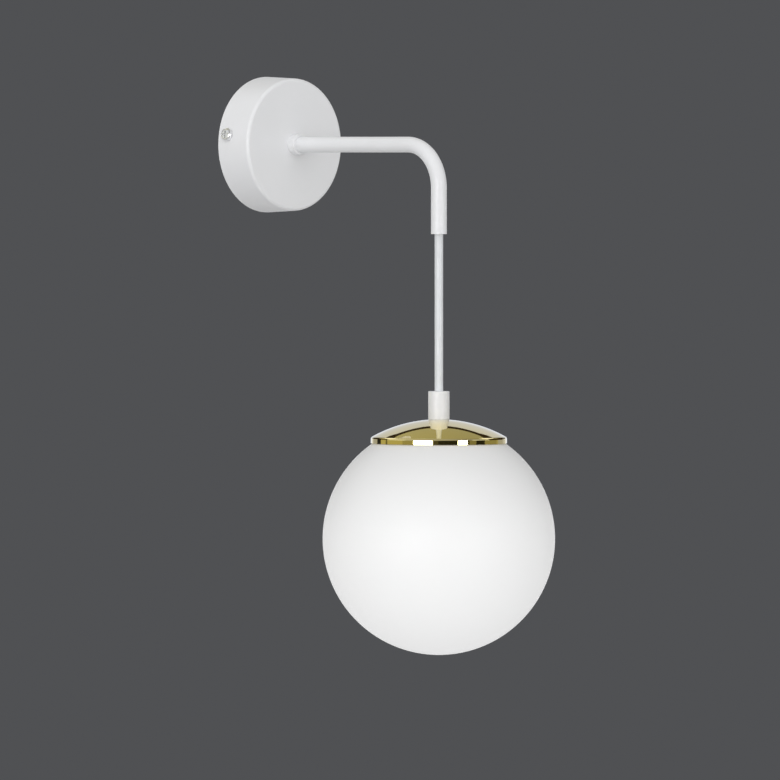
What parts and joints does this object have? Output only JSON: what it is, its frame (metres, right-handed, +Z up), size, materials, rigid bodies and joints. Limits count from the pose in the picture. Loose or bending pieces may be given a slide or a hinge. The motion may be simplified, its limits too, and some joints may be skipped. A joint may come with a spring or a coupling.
{
  "type": "globe wall sconce",
  "caption": "Wall light with a round canopy, a bent tube arm and an opal glass globe that hangs under a domed metal cap on a short straight cord.",
  "frame": {"origin": "centre of the round canopy on the wall plane, which is also the centre of the bracket's two wall holes", "axes": "+Z up, +Y into the wall, +X to the right seen from the room; the arm runs out along -Y"},
  "size_m": [0.14, 0.218, 0.3486],
  "materials": {
    "white_powder_coat": "fine white powder coat, satin",
    "polished_gold": "polished gold plate, mirror bright",
    "opal_glass": "acid-matt white opal glass",
    "nickel_plate": "bright nickel plate",
    "zinc_plate": "clear zinc plate",
    "spring_steel": "bright spring steel",
    "brass": "plain turned brass",
    "lamp_cap_metal": "rolled aluminium",
    "white_cord": "white flexible PVC, slightly clear",
    "brown_insulation": "brown PVC",
    "blue_insulation": "blue PVC",
    "green_yellow_insulation": "green and yellow PVC",
    "clear_nylon": "natural nylon",
    "white_plastic": "white moulded plastic",
    "black_glass": "black vitrite",
    "opal_plastic": "white diffusing plastic"
  },
  "bodies": {
    "fixture": {"wall_bracket": "zinc_plate", "earth_washer": "zinc_plate", "earth_lug": "brass", "earth_screw": "zinc_plate", "canopy": "white_powder_coat", "canopy_screws": "nickel_plate", "arm_tube": "white_powder_coat", "arm_collar": "white_powder_coat", "arm_washer": "zinc_plate", "arm_nut": "zinc_plate", "tube_end_bush": "clear_nylon", "cord_in_arm": "white_cord", "cord_stop": "clear_nylon", "cord_stop_screw": "zinc_plate", "terminal_block": "clear_nylon", "terminal_sleeves": "brass", "terminal_screws": "zinc_plate", "block_screw": "zinc_plate", "live_core": "brown_insulation", "neutral_core": "blue_insulation", "earth_core": "green_yellow_insulation"},
    "cord_top": {"cord_exit": "white_cord"},
    "pendant": {"cord_drop": "white_cord", "cord_grip": "white_powder_coat", "cord_grip_screw": "clear_nylon", "shade_cap": "polished_gold", "threaded_nipple": "zinc_plate", "cap_washer": "zinc_plate", "cap_nut": "zinc_plate", "clip_carrier": "zinc_plate", "glass_clips": "spring_steel", "clip_rivets": "zinc_plate", "cord_tail": "white_cord", "holder_dome": "white_plastic", "holder_body": "white_plastic", "holder_insert": "white_plastic", "holder_screws": "brass", "holder_leads": "brown_insulation", "holder_shell": "brass", "holder_contact": "brass"},
    "globe": {"glass_globe": "opal_glass"},
    "lamp_end": {"lamp_tip": "brass"},
    "lamp": {"lamp_insulator": "black_glass", "lamp_screw_cap": "lamp_cap_metal", "lamp_housing": "white_plastic", "lamp_envelope": "opal_plastic", "led_board": "lamp_cap_metal", "led_chips": "white_plastic"}
  },
  "joints": [
    {"name": "pendant_swing_side", "type": "hinge", "parent": "fixture", "child": "cord_top", "pos_m": [0, -0.148, -0.0538], "axis": [0, 1, 0], "range_deg": [-35, 35], "deforming": ["cord_exit"]},
    {"name": "pendant_swing_fore", "type": "hinge", "parent": "cord_top", "child": "pendant", "pos_m": [0, -0.148, -0.0598], "axis": [1, 0, 0], "range_deg": [-35, 22], "deforming": ["cord_drop"]},
    {"name": "globe_pull_off", "type": "slide", "parent": "pendant", "child": "globe", "axis": [0, 0, -1], "range_m": [0, 0.11], "deforming": ["glass_clips"]},
    {"name": "lamp_out", "type": "slide", "parent": "pendant", "child": "lamp_end", "axis": [0, 0, -1], "range_m": [0, 0.0141]},
    {"name": "lamp_turn", "type": "hinge", "parent": "lamp_end", "child": "lamp", "pos_m": [0, -0.148, -0.24], "axis": [0, 0, -1], "range_deg": [0, 1800]}
  ],
  "couplings": [
    {"joint": "lamp_turn", "follows": "lamp_out", "rad_per_m": 2226.3}
  ]
}
